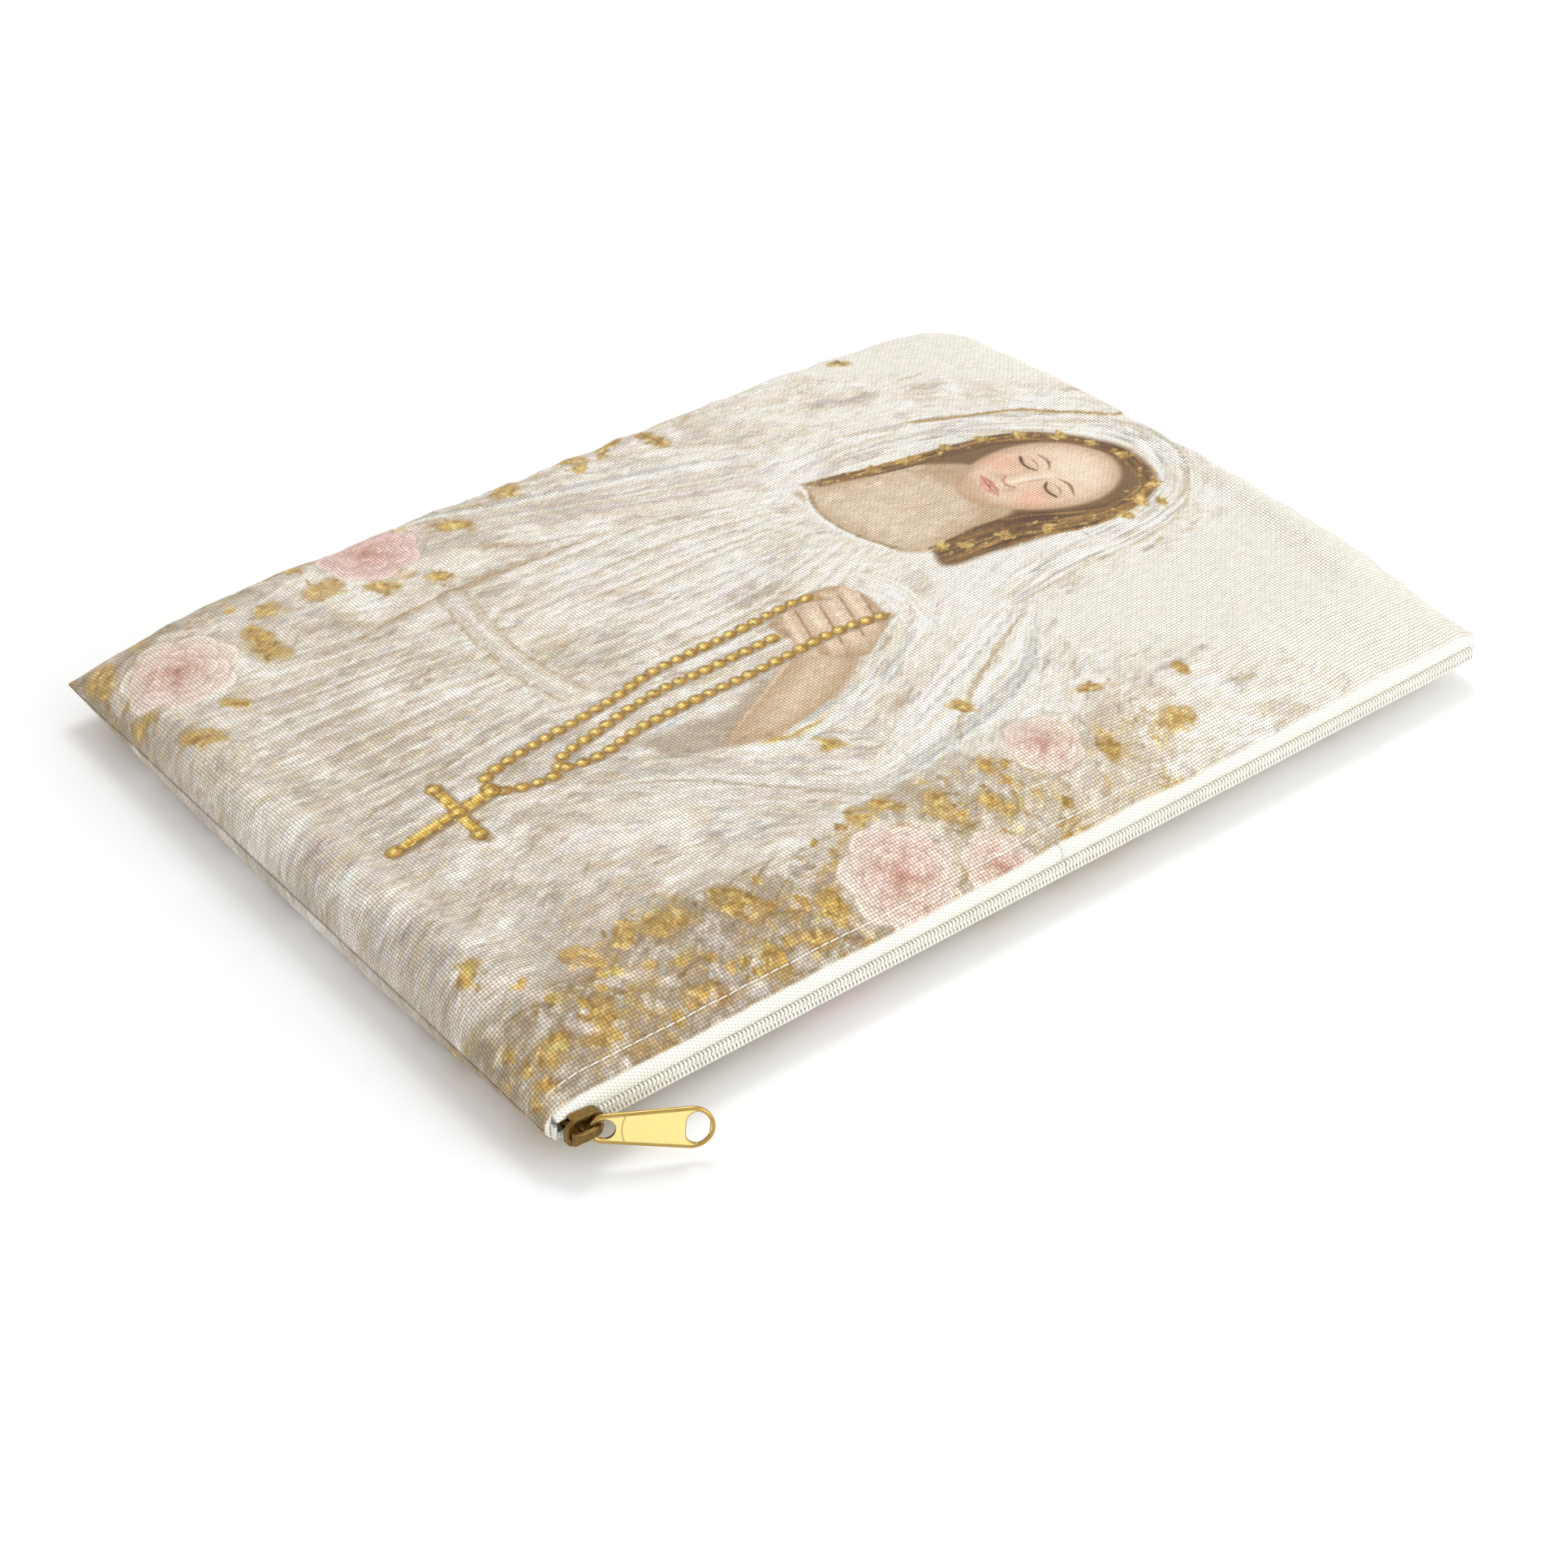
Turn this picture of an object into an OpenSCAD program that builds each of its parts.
// Flat zip pouch: two printed canvas panels with a lining, sewn on three sides and turned,
// with a nylon coil zip along one long edge.
// X runs along the zip, +Y from the zip to the bottom seam, +Z up. The origin is the middle of the
// underside that the pouch lies on. All sizes are in millimetres.

/* [Pouch] */
// Length along the zip
pouch_l = 317; // [240:1:360]
// Depth from the zip to the bottom seam
pouch_w = 228; // [170:1:260]
// Height of the seams above the underside
seam_h = 11.5; // [11:0.5:13]
// Rise of the filled front panel above the seams
puff = 15; // [13:0.5:17]
// How far in from the seams the panels reach their full height
edge_reach = 14; // [12:1:20]
// How much further in that is at the corners
corner_reach = 30; // [20:1:36]
// How far along the seams the corners are pinched
corner_len = 80; // [60:1:90]
// How far in from the zip the panels reach their full height
zip_reach = 50; // [40:1:60]

/* [Cloth] */
// Thickness of the printed canvas
canvas_t = 0.9; // [0.6:0.1:1]
// Thickness of the lining
lining_t = 0.35; // [0.3:0.05:0.5]
// Width of the seam allowances
allowance_w = 7.8; // [6:0.2:8]
// Distance of the topstitching from the canvas edge
topstitch_in = 4.2; // [4:0.2:8]

/* [Zip] */
// Half height of the upright band that the zip makes
band_h = 5; // [4.8:0.1:6]
// How far the chain lies below the seams
chain_drop = 0.8; // [0.4:0.1:1.6]
// Thickness of the zip tape
tape_t = 0.55; // [0.4:0.05:0.6]
// Pitch of the coil's turns
tooth_pitch = 1.15; // [1:0.05:1.5]
// Thickness of the coil
coil_t = 1.6; // [1.4:0.1:1.6]
// Half width of the closed chain
chain_half = 2.1; // [1.9:0.1:2.2]

/* [Slider] */
// Length of the slider body
slider_l = 10.5; // [10:0.5:11]
// Thickness of the slider's plates
plate_t = 0.9; // [0.8:0.1:1]
// Angle that the pull tab stands out from the chain
pull_angle = 31; // [10:1:90]
// Angle that its free end droops
pull_droop = 5.6; // [0:0.2:8]
// Angle that its upper edge leans back
pull_lean = 12; // [0:1:14]
// Overall length of the pull tab
pull_l = 29.4; // [24:0.2:36]
// Half width of the pull tab at its free end
pull_end_r = 5.5; // [5:0.05:6]

/* [Hidden] */
$fn = 48;

half_l = pouch_l / 2;
half_w = pouch_w / 2;
zip_y = -half_w;
layer_gap = 0.15;      // clear space between the two halves and between layers
canvas_edge_y = zip_y + 2;
band_side_reach = 7;   // how quickly the zip band closes at its two ends
back_band_h = band_h + 0.8;

// Lining: set in from the seams, so that the allowances lie between it and the canvas.
lining_inset = allowance_w + 2.2;
lining_k = 2.4;
lining_edge_y = zip_y + 4.5;

// Zip tape, under the canvas and down the upright band.
tape_k = canvas_t + layer_gap;
tape_y = zip_y + 0.1;
tape_hidden = 6;
tape_end_in = 2.7;
tape_edge = 0.3;       // from the chain's middle to the tape's edge
tape_edge_wide = 2.5;  // the same beside the slider's wedge, where the tapes part

// Chain
chain_x0 = -half_l + 8.8;
chain_x1 = half_l - 4;
mesh_depth = 0.8;      // how far each coil's heads pass the seam plane
head_w = 0.5;
cord_w = 0.7;
cord_z = 1.1;          // from the seam plane to the lower side of the cord's channel
cord_clear = 0.05;
coil_u0 = 0.02;        // clear space between the coil and its tape

// Slider, in its own frame: x along the chain, y up, z away from the pouch, from the tape's face.
slider_x = -half_l + 3;
inner_plate_z = -0.85 - plate_t;
outer_plate_z = 1.92;
outer_face_z = outer_plate_z + plate_t;
flange_z = 0.35;
channel_half = 2.45;
pivot_x = 6.2;
pull_bar_r = 0.55;
pivot_z = outer_face_z + 0.93;
post_w = 1.4;
head_post = [1.9, 2.7];
tail_post = [8.1, 8.8];
post_top_z = 4.2;
spring_z = 4.5;
pin_x = 4.1;
pin_r = 0.35;

// ---- The pouch's rounded form -------------------------------------------------------------

// 0 at an edge and 1 at full height, as a quarter of a circle
function quarter(s) = s <= 0 ? 0 : s >= 1 ? 1 : sqrt(1 - (1 - s) * (1 - s));
function swell(s) = sin(90 * min(1, max(0, s)));

// How far in from a side seam the form is rounded, at y: most at the pinched corners, and
// little at the zip band's ends.
function side_round(y) =
    edge_reach + corner_reach * (1 - swell((half_w - y) / corner_len))
    + 12 * (1 - swell((y - zip_y - 20) / 70))
    - (edge_reach + 12 - band_side_reach) * (1 - swell((y - zip_y) / 20));

// The same for the bottom seam, at x.
function bottom_round(x) = edge_reach + corner_reach * (1 - swell((half_l - abs(x)) / corner_len));

// Height of the form above the seam plane at x, y. k is how far inside the canvas's outer face
// the surface lies, inset is how far its edges are set in from the seams, and band is its
// height at the zip.
function form_z(x, y, k = 0, inset = 0, band = band_h) =
    let (side = quarter((half_l - inset - k - abs(x)) / side_round(y)),
         bottom = quarter((half_w - inset - k - y) / bottom_round(x)),
         height = band - k + (puff - band) * swell((y - zip_y) / zip_reach))
    side * bottom * height;

// The same for the back half, which lies flat on its underside.
function belly_z(x, y, k = 0, inset = 0) =
    min(seam_h - layer_gap - k, form_z(x, y, k, inset, back_band_h));

// Grid places from -1 to 1, close together at both ends
function ends_close(i, n) = let (t = 2 * i / n - 1) sign(t) * (1 - pow(1 - abs(t), 2));

// A closed sheet between two grids of points, each a list of rows. outer faces away from inner.
module sheet(outer, inner) {
    rows = len(outer);
    cols = len(outer[0]);
    count = rows * cols;
    points = [for (row = outer) each row, for (row = inner) each row];
    function at(i, j) = i * cols + j;
    // The diagonals run towards the sheet's corners, so that no corner triangle lies flat.
    function outward(i, j) = (2 * i + 1 < rows - 1) == (2 * j + 1 < cols - 1);
    function quad(a, b, c, d, split = true) = split ? [[a, b, c], [a, c, d]] : [[a, b, d], [b, c, d]];
    faces = [
        for (i = [0 : rows - 2], j = [0 : cols - 2])
            each quad(at(i, j), at(i, j + 1), at(i + 1, j + 1), at(i + 1, j), outward(i, j)),
        for (i = [0 : rows - 2], j = [0 : cols - 2])
            each quad(count + at(i, j), count + at(i + 1, j),
                      count + at(i + 1, j + 1), count + at(i, j + 1), outward(i, j)),
        for (j = [0 : cols - 2])
            each quad(at(0, j + 1), at(0, j), count + at(0, j), count + at(0, j + 1)),
        for (j = [0 : cols - 2])
            each quad(at(rows - 1, j), at(rows - 1, j + 1),
                      count + at(rows - 1, j + 1), count + at(rows - 1, j)),
        for (i = [0 : rows - 2])
            each quad(at(i, 0), at(i + 1, 0), count + at(i + 1, 0), count + at(i, 0)),
        for (i = [0 : rows - 2])
            each quad(at(i + 1, cols - 1), at(i, cols - 1),
                      count + at(i, cols - 1), count + at(i + 1, cols - 1))
    ];
    polyhedron(points = points, faces = faces, convexity = 6);
}

// One face of a panel or lining, as a grid.
function panel_grid(k, inset, y0, nx, ny, flat) = [
    for (i = [0 : nx])
        let (x = (half_l - inset - k) * ends_close(i, nx))
        [for (j = [0 : ny])
            let (y = y0 + (half_w - inset - k - y0) * (1 - cos(180 * j / ny)) / 2,
                 z = flat ? belly_z(x, y, k, inset) : form_z(x, y, k, inset))
            [x, y, z + layer_gap]]
];

module panel_half(flat) {
    sheet(panel_grid(0, 0, canvas_edge_y, 32, 24, flat),
          panel_grid(canvas_t, 0, canvas_edge_y, 32, 24, flat));
}

module lining_half(flat) {
    sheet(panel_grid(lining_k, lining_inset, lining_edge_y, 22, 16, flat),
          panel_grid(lining_k + lining_t, lining_inset, lining_edge_y, 22, 16, flat));
}

// Stands a half of the pouch on the seam plane: the front half up, the back half down.
module front_half() translate([0, 0, seam_h]) children();
module back_half() translate([0, 0, seam_h]) mirror([0, 0, 1]) children();

// ---- Zip tape ------------------------------------------------------------------------------

// Places along a tape: close together at its ends and where it parts beside the slider.
tape_xs = [
    for (d = [tape_end_in, 3.3, 4.4, 6, 8.4, 9.2, 14, 24, 40]) -half_l + d,
    for (i = [1 : 7]) -half_l + 40 + i * (pouch_l - 80) / 8,
    for (d = [40, 24, 14, 9, 6, 4.4, 3.3, tape_end_in]) half_l - d
];

// A tape's section at x: under the canvas, round the bend and down to the chain.
// k is its depth inside the canvas's outer face, y0 is the place of its upright face, band is
// the band's height and drop is how far the chain's middle lies from the seams on this side.
function tape_row(x, k, y0, band, drop, wide) =
    let (top = form_z(x, zip_y, k, 0, band), bend = min(1.1, top * 0.3),
         edge = drop * min(1, form_z(x, zip_y) / band_h) + (x < chain_x0 ? wide : tape_edge),
         low = min(edge, top * 0.75))
    [[x, y0, low],
     [x, y0, max(low + 0.1, top - bend)],
     [x, y0 + 0.35, max(low + 0.2, top - bend * 0.3)],
     for (y = [y0 + 1.1, zip_y + 3.5, canvas_edge_y + tape_hidden])
         [x, y, max(low + 0.3, form_z(x, y, k, 0, band))]];

module tape_half(band, drop, wide) {
    sheet([for (x = tape_xs) tape_row(x, tape_k, tape_y, band, drop, wide)],
          [for (x = tape_xs) tape_row(x, tape_k + tape_t, tape_y + tape_t, band, drop, wide)]);
}

// ---- Coil, cord and threads -----------------------------------------------------------------

// Moves a shape drawn with x along the chain, y up and z away from the pouch onto the tape's face.
module on_tape() translate([0, tape_y, seam_h - chain_drop]) rotate([90, 0, 0]) children();

// One coil: a bar along the tape with a row of heads that pass between the other coil's heads.
module coil_half(shift) {
    count = floor((chain_x1 - chain_x0 - head_w - shift) / tooth_pitch);
    bar_low = mesh_depth + 0.1;
    outline = [
        [chain_x0, chain_half],
        [chain_x0, bar_low],
        for (i = [0 : count])
            let (x = chain_x0 + shift + 0.1 + i * tooth_pitch)
            each [[x, bar_low], [x + 0.08, -mesh_depth], [x + head_w - 0.08, -mesh_depth],
                  [x + head_w, bar_low]],
        [chain_x1 + 0.1, bar_low],
        [chain_x1 + 0.1, chain_half]
    ];
    difference() {
        translate([0, 0, coil_u0]) linear_extrude(coil_t) polygon(outline);
        translate([chain_x0 - 1, cord_z, coil_u0 + (coil_t - cord_w) / 2])
            cube([chain_x1 - chain_x0 + 3, cord_w, cord_w]);
    }
}

module cord_half() {
    middle = coil_u0 + coil_t / 2;
    translate([chain_x0, cord_z + cord_w / 2, middle]) rotate([0, 90, 0])
        cylinder(r = cord_w / 2 - cord_clear, h = chain_x1 - chain_x0, $fn = 24);
}

module coil_thread_half() {
    for (z = [1.15, 1.7])
        translate([chain_x0, z, coil_u0 + coil_t + 0.03])
            cube([chain_x1 - chain_x0, 0.25, 0.2]);
}

// A row of stitches lies on the canvas as one thin raised line.
module topstitch_half(flat) {
    y = canvas_edge_y + topstitch_in;
    function line(dy, lift) = [
        for (i = [0 : 28])
            let (x = (half_l - 1.2) * ends_close(i, 28),
                 z = flat ? belly_z(x, y + dy) : form_z(x, y + dy))
            [x, y + dy, z + layer_gap + lift]];
    upper = [line(-0.2, 0.42), line(0.2, 0.42)];
    lower = [line(-0.2, 0.12), line(0.2, 0.12)];
    sheet([for (i = [0 : 28]) [upper[0][i], upper[1][i]]],
          [for (i = [0 : 28]) [lower[0][i], lower[1][i]]]);
}

// ---- Seams and bar tacks ---------------------------------------------------------------------

module side_seam(side) {
    color("ivory")
        translate([side * (half_l - 1.7 - allowance_w / 2), 1.5, seam_h])
            cube([allowance_w, pouch_w - 25, 2 * canvas_t], center = true);
}

module bottom_seam() {
    color("ivory")
        translate([0, half_w - 1.7 - allowance_w / 2, seam_h])
            cube([pouch_l - 26, allowance_w, 2 * canvas_t], center = true);
}

module bar_tack(x) {
    color("white")
        on_tape()
            for (i = [0 : 2])
                translate([x + 0.42 * i, -2, 0.05]) cube([0.34, 4, 0.4]);
}

// ---- Slider ----------------------------------------------------------------------------------

module slider_frame() translate([slider_x, 0, 0]) on_tape() children();

// Outline of the plates: a long hexagon with its corners cut, blunt at the head.
module plate_outline(inset = 0) {
    polygon([
        for (p = [[0, 1.5], [0.5, 2.4], [2.4, 3.8], [3.4, 4.0], [8.6, 3.4], [9.6, 2.9], [slider_l, 2.1]])
            [inset + p[0] * (slider_l - 2 * inset) / slider_l, p[1] - inset],
        for (p = [[slider_l, 2.1], [9.6, 2.9], [8.6, 3.4], [3.4, 4.0], [2.4, 3.8], [0.5, 2.4], [0, 1.5]])
            [inset + p[0] * (slider_l - 2 * inset) / slider_l, inset - p[1]]
    ]);
}

// Side walls of the channel: they part towards the head, round the post.
module flange_outline() {
    difference() {
        plate_outline();
        polygon([[-1, -5], [2.2, -5], [2.2, -3.4], [5.6, -channel_half], [slider_l + 1, -channel_half],
                 [slider_l + 1, channel_half], [5.6, channel_half], [2.2, 3.4], [2.2, 5], [-1, 5]]);
    }
}

module slider_body() {
    color("darkgoldenrod")
        slider_frame() {
            difference() {
                union() {
                    translate([0, 0, outer_plate_z]) linear_extrude(plate_t) plate_outline();
                    translate([0, 0, outer_face_z - 0.01])
                        linear_extrude(0.36)
                            difference() {
                                plate_outline();
                                plate_outline(0.7);
                                translate([8.0, -1.4]) square([4, 2.8]);
                            }
                    translate([0, 0, flange_z])
                        linear_extrude(outer_plate_z - flange_z + 0.01) flange_outline();
                    translate([0, 0, inner_plate_z]) linear_extrude(plate_t) plate_outline(1.5);
                    translate([0, 0, inner_plate_z + plate_t - 0.01])
                        linear_extrude(outer_plate_z - inner_plate_z - plate_t + 0.02)
                            polygon([[1.5, 1.5], [2.2, 2.2], [4.4, 1.5], [4.2, 1.05], [2.2, 1.0]]);
                    for (post = [head_post, tail_post])
                        translate([post[0], -post_w / 2, outer_face_z - 0.01])
                            cube([post[1] - post[0], post_w, post_top_z - outer_face_z + 0.01]);
                }
                translate([pin_x, 0, outer_plate_z - 0.5]) cylinder(r = pin_r + 0.1, h = plate_t + 1);
            }
        }
}

// Arched cover over the pull tab's bar, pressed onto the two posts.
module slider_cap() {
    low = outer_face_z + 0.02;
    side = [[1.2, low], [1.2, 3.6], [1.7, 4.8], [2.7, 5.5], [3.8, 5.75], [7.0, 5.75], [8.2, 5.4], [9.0, 4.8],
            [9.35, 3.8], [9.35, low], [7.8, low], [7.8, 4.5], [7.45, 4.9], [3.3, 4.9], [3.0, 4.5],
            [3.0, low]];
    color("darkgoldenrod")
        slider_frame()
            difference() {
                translate([0, 1.25, 0]) rotate([90, 0, 0]) linear_extrude(2.5) polygon(side);
                for (post = [head_post, tail_post])
                    translate([post[0] - 0.05, -post_w / 2 - 0.05, outer_face_z - 0.5])
                        cube([post[1] - post[0] + 0.1, post_w + 0.1, post_top_z - outer_face_z + 0.55]);
            }
}

// Leaf spring under the cap, with the pin that locks the slider on the coil.
module lock_spring() {
    color("silver")
        slider_frame() {
            translate([3.5, -0.6, spring_z]) cube([1.5, 1.2, 0.2]);
            translate([pin_x, 0, 2]) cylinder(r = pin_r, h = spring_z - 1.95, $fn = 24);
        }
}

// Outline of the pull tab from its bar at 0 along x.
module pull_outline(inset = 0) {
    start_r = 3.85;
    start_x = start_r - pull_bar_r;
    end_x = pull_l - pull_bar_r - pull_end_r;
    lean = asin((pull_end_r - start_r) / (end_x - start_x));
    translate([start_x, 0]) circle(start_r - inset);
    translate([end_x, 0]) circle(pull_end_r - inset);
    polygon([
        for (side = [-1, 1], end = [side, -side])
            let (r = (end < 0 ? start_r : pull_end_r) - inset, x = end < 0 ? start_x : end_x)
            [x - r * sin(lean), side * r * cos(lean)]
    ]);
}

// The tab's two eyes: a round one for the bar and an oval one at the free end.
module pull_eyes() {
    eye_r = 2.85;
    eye_half = 1.45;
    translate([pull_bar_r + 2.6, 0]) circle(2.6);
    translate([pull_l - pull_bar_r - 1.25 - eye_r, 0]) {
        for (side = [-1, 1]) translate([0, side * eye_half]) circle(eye_r);
        square([2 * eye_r, 2 * eye_half], center = true);
    }
}

module pull_tab() {
    rim_t = 2 * pull_bar_r;
    face_t = 0.8;
    color("gold")
        slider_frame()
            translate([pivot_x, 0, pivot_z])
            rotate([0, -pull_angle, 0]) rotate([0, 0, -pull_droop]) rotate([-pull_lean, 0, 0]) {
                difference() {
                    union() {
                        translate([0, 0, -face_t / 2]) linear_extrude(face_t) pull_outline(0.5);
                        translate([0, 0, -face_t / 2 - 0.1])
                            linear_extrude(face_t + 0.2)
                                difference() {
                                    intersection() {
                                        pull_outline(0.5);
                                        translate([-1, -6]) square([9.5, 12]);
                                    }
                                    translate([15.2, 0]) circle(8);
                                }
                        translate([0, 0, -rim_t / 2])
                            linear_extrude(rim_t)
                                difference() {
                                    pull_outline();
                                    pull_outline(1.1);
                                }
                    }
                    translate([0, 0, -2]) linear_extrude(4) pull_eyes();
                    translate([-2, -1.5, -2]) cube([2.56, 3, 4]);
                }
                translate([0, 1.55, 0]) rotate([90, 0, 0]) cylinder(r = pull_bar_r, h = 3.1);
            }
}

// ---- Nodes -----------------------------------------------------------------------------------

module front_panel() { color("linen") front_half() panel_half(false); }
module back_panel() { color("linen") back_half() panel_half(true); }
module front_lining() { color("ivory") front_half() lining_half(false); }
module back_lining() { color("ivory") back_half() lining_half(true); }
module front_tape() { color("beige") front_half() tape_half(band_h, -chain_drop, tape_edge_wide); }
module back_tape() { color("beige") back_half() tape_half(back_band_h, chain_drop, tape_edge); }
module front_coil() { color("beige") on_tape() coil_half(0); }
module back_coil() { color("beige") on_tape() mirror([0, 1, 0]) coil_half(tooth_pitch / 2); }
module front_core_cord() { color("white") on_tape() cord_half(); }
module back_core_cord() { color("white") on_tape() mirror([0, 1, 0]) cord_half(); }
module front_coil_thread() { color("white") on_tape() coil_thread_half(); }
module back_coil_thread() { color("white") on_tape() mirror([0, 1, 0]) coil_thread_half(); }
module front_topstitch() { color("white") front_half() topstitch_half(false); }
module back_topstitch() { color("white") back_half() topstitch_half(true); }
module left_side_seam() { side_seam(-1); }
module right_side_seam() { side_seam(1); }
module left_bar_tack() { bar_tack(-half_l + 1.6); }
module right_bar_tack() { bar_tack(half_l - 3.4); }

front_panel();
front_lining();
front_tape();
front_coil();
front_core_cord();
front_coil_thread();
front_topstitch();
back_panel();
back_lining();
back_tape();
back_coil();
back_core_cord();
back_coil_thread();
back_topstitch();
left_side_seam();
right_side_seam();
bottom_seam();
left_bar_tack();
right_bar_tack();
slider_body();
slider_cap();
lock_spring();
pull_tab();
